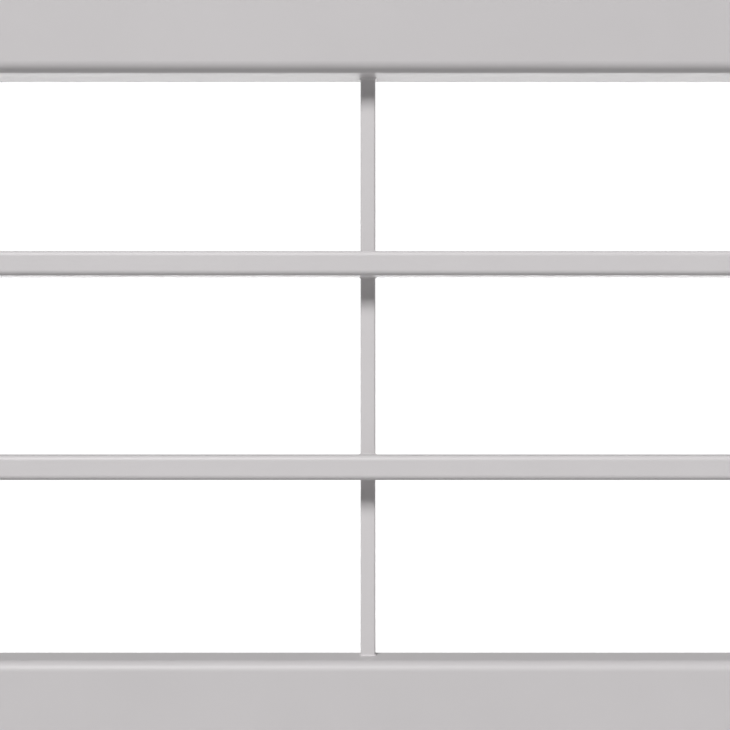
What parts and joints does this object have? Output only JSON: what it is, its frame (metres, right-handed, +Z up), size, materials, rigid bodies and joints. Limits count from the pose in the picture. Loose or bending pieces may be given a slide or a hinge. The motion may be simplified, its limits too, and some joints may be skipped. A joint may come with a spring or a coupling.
{
  "type": "adjustable window security guard",
  "caption": "Adjustable window security guard: a welded grille of horizontal steel tubes on a centre brace, with end frames that slide out of the tubes to plates screwed to the jambs.",
  "frame": {"origin": "centre of the whole guard's box at rest: on the centre brace's middle line, midway between the two middle bars", "axes": "+X along the horizontals towards the right jamb, +Y through the guard from its front towards the brace side, +Z up"},
  "size_m": [0.772, 0.058, 0.526],
  "materials": {
    "rail_coat": "semi-gloss powder coat",
    "bar_coat": "semi-gloss powder coat",
    "brace_coat": "semi-gloss powder coat",
    "tube_coat": "semi-gloss powder coat, rubbed satin where it slides",
    "plate_coat": "semi-gloss powder coat",
    "weld_coat": "powder coat over weld",
    "nut_coat": "powder coat over steel",
    "screw_steel": "stainless steel",
    "bush_plastic": "moulded nylon",
    "guide_plastic": "moulded nylon",
    "pad_rubber": "ribbed rubber sheet"
  },
  "bodies": {
    "centre_frame": {"top_rail": "rail_coat", "upper_bar": "bar_coat", "lower_bar": "bar_coat", "bottom_rail": "rail_coat", "centre_brace": "brace_coat", "brace_welds": "weld_coat", "left_top_bush": "bush_plastic", "left_upper_bush": "bush_plastic", "left_lower_bush": "bush_plastic", "left_bottom_bush": "bush_plastic", "right_top_bush": "bush_plastic", "right_upper_bush": "bush_plastic", "right_lower_bush": "bush_plastic", "right_bottom_bush": "bush_plastic", "left_lock_nuts": "nut_coat", "left_lock_screws": "screw_steel", "right_lock_nuts": "nut_coat", "right_lock_screws": "screw_steel"},
    "left_end_frame": {"left_top_tube": "tube_coat", "left_upper_tube": "tube_coat", "left_lower_tube": "tube_coat", "left_bottom_tube": "tube_coat", "left_top_guide": "guide_plastic", "left_upper_guide": "guide_plastic", "left_lower_guide": "guide_plastic", "left_bottom_guide": "guide_plastic", "left_end_plate": "plate_coat", "left_end_welds": "weld_coat", "left_jamb_pad": "pad_rubber"},
    "right_end_frame": {"right_top_tube": "tube_coat", "right_upper_tube": "tube_coat", "right_lower_tube": "tube_coat", "right_bottom_tube": "tube_coat", "right_top_guide": "guide_plastic", "right_upper_guide": "guide_plastic", "right_lower_guide": "guide_plastic", "right_bottom_guide": "guide_plastic", "right_end_plate": "plate_coat", "right_end_welds": "weld_coat", "right_jamb_pad": "pad_rubber"}
  },
  "joints": [
    {"name": "left_slide", "type": "slide", "parent": "centre_frame", "child": "left_end_frame", "axis": [-1, 0, 0], "range_m": [-0.056, 0.182]},
    {"name": "right_slide", "type": "slide", "parent": "centre_frame", "child": "right_end_frame", "axis": [1, 0, 0], "range_m": [-0.056, 0.182]}
  ]
}
